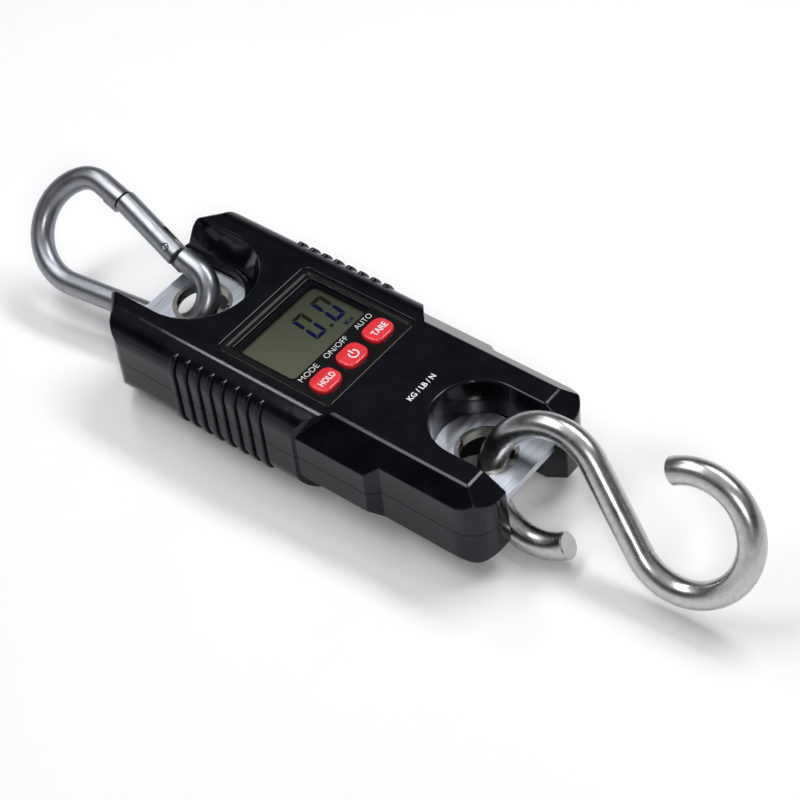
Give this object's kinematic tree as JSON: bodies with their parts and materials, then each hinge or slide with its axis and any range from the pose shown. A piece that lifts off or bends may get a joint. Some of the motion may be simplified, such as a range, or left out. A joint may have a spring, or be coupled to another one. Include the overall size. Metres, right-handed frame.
{
  "type": "digital hanging scale",
  "caption": "Hand-held hanging scale: plastic housing with display and push buttons, through plate with snap hook and S hook in its end eyes.",
  "frame": {"origin": "on the flat rear face, under the centre of the display panel", "axes": "+X towards the S hook end, +Y across the housing, +Z out of the front face with the display"},
  "size_m": [0.3615, 0.0876, 0.0619],
  "materials": {
    "body_black": "fine moulded texture",
    "panel_black": "smooth",
    "window": "clear acrylic",
    "lcd": "grey-green display glass",
    "reflector": "diffusing",
    "button_red": "gloss",
    "stainless": "soft brushed",
    "plate_alu": "brushed",
    "bush_steel": "plated",
    "board_green": "solder mask",
    "chip_black": "epoxy",
    "switch_black": "moulded",
    "zebra": "conductive rubber",
    "gauge_coat": "silicone coat",
    "lead": "wire cover",
    "screw_steel": "zinc plated",
    "spring_steel": "spring wire",
    "cell_jacket": "printed jacket",
    "contact_steel": "nickel plated"
  },
  "bodies": {
    "scale_body": {"amplifier_chip": "chip_black", "battery_cell_1": "cell_jacket", "battery_cell_2": "cell_jacket", "battery_cell_3": "cell_jacket", "battery_tray": "body_black", "board_screw_1": "screw_steel", "board_screw_2": "screw_steel", "board_screw_3": "screw_steel", "board_screw_4": "screw_steel", "circuit_board": "board_green", "contact_plate_1": "contact_steel", "contact_plate_2": "contact_steel", "contact_spring_1": "contact_steel", "contact_spring_2": "contact_steel", "contact_spring_3": "contact_steel", "controller_chip": "chip_black", "display_lens": "window", "display_panel": "panel_black", "front_cover": "body_black", "gauge_leads": "lead", "hold_switch": "switch_black", "housing_screw_1": "screw_steel", "housing_screw_2": "screw_steel", "housing_screw_3": "screw_steel", "housing_screw_4": "screw_steel", "housing_screw_5": "screw_steel", "housing_screw_6": "screw_steel", "lcd_glass": "lcd", "lcd_reflector": "reflector", "load_plate": "plate_alu", "lower_eye_bush": "bush_steel", "lower_strain_gauge": "gauge_coat", "plate_screw_1": "screw_steel", "plate_screw_2": "screw_steel", "plate_screw_3": "screw_steel", "plate_screw_4": "screw_steel", "power_switch": "switch_black", "rear_cover": "body_black", "tare_switch": "switch_black", "upper_eye_bush": "bush_steel", "upper_strain_gauge": "gauge_coat", "zebra_strip": "zebra"},
    "snap_hook": {"snap_hook_body": "stainless", "gate_pin": "stainless"},
    "snap_gate": {"snap_gate": "stainless", "gate_spring": "spring_steel", "gate_plunger": "stainless"},
    "s_hook": {"s_hook": "stainless"},
    "hold_button": {"hold_button": "button_red"},
    "power_button": {"power_button": "button_red"},
    "tare_button": {"tare_button": "button_red"},
    "battery_door": {"battery_door": "body_black"}
  },
  "joints": [
    {"name": "snap_hook_swing", "type": "hinge", "parent": "scale_body", "child": "snap_hook", "pos_m": [-0.0806, 0, 0.023], "axis": [0.6691, 0.7431, 0], "range_deg": [0, 68]},
    {"name": "snap_gate_hinge", "type": "hinge", "parent": "snap_hook", "child": "snap_gate", "pos_m": [-0.09121, 0.00998, 0.03517], "axis": [-0.096, 0.6799, -0.727], "range_deg": [-28, 0], "stiffness_Nm_per_rad": 0.02},
    {"name": "s_hook_swing", "type": "hinge", "parent": "scale_body", "child": "s_hook", "pos_m": [0.0976, 0, 0.023], "axis": [0.342, 0.9397, 0], "range_deg": [-22, 55]},
    {"name": "hold_press", "type": "slide", "parent": "scale_body", "child": "hold_button", "axis": [0, 0, -1], "range_m": [0, 0.0005], "stiffness_N_per_m": 600},
    {"name": "power_press", "type": "slide", "parent": "scale_body", "child": "power_button", "axis": [0, 0, -1], "range_m": [0, 0.0005], "stiffness_N_per_m": 600},
    {"name": "tare_press", "type": "slide", "parent": "scale_body", "child": "tare_button", "axis": [0, 0, -1], "range_m": [0, 0.0005], "stiffness_N_per_m": 600},
    {"name": "battery_door_pull", "type": "slide", "parent": "scale_body", "child": "battery_door", "axis": [0, 0, -1], "range_m": [0, 0.012]}
  ]
}
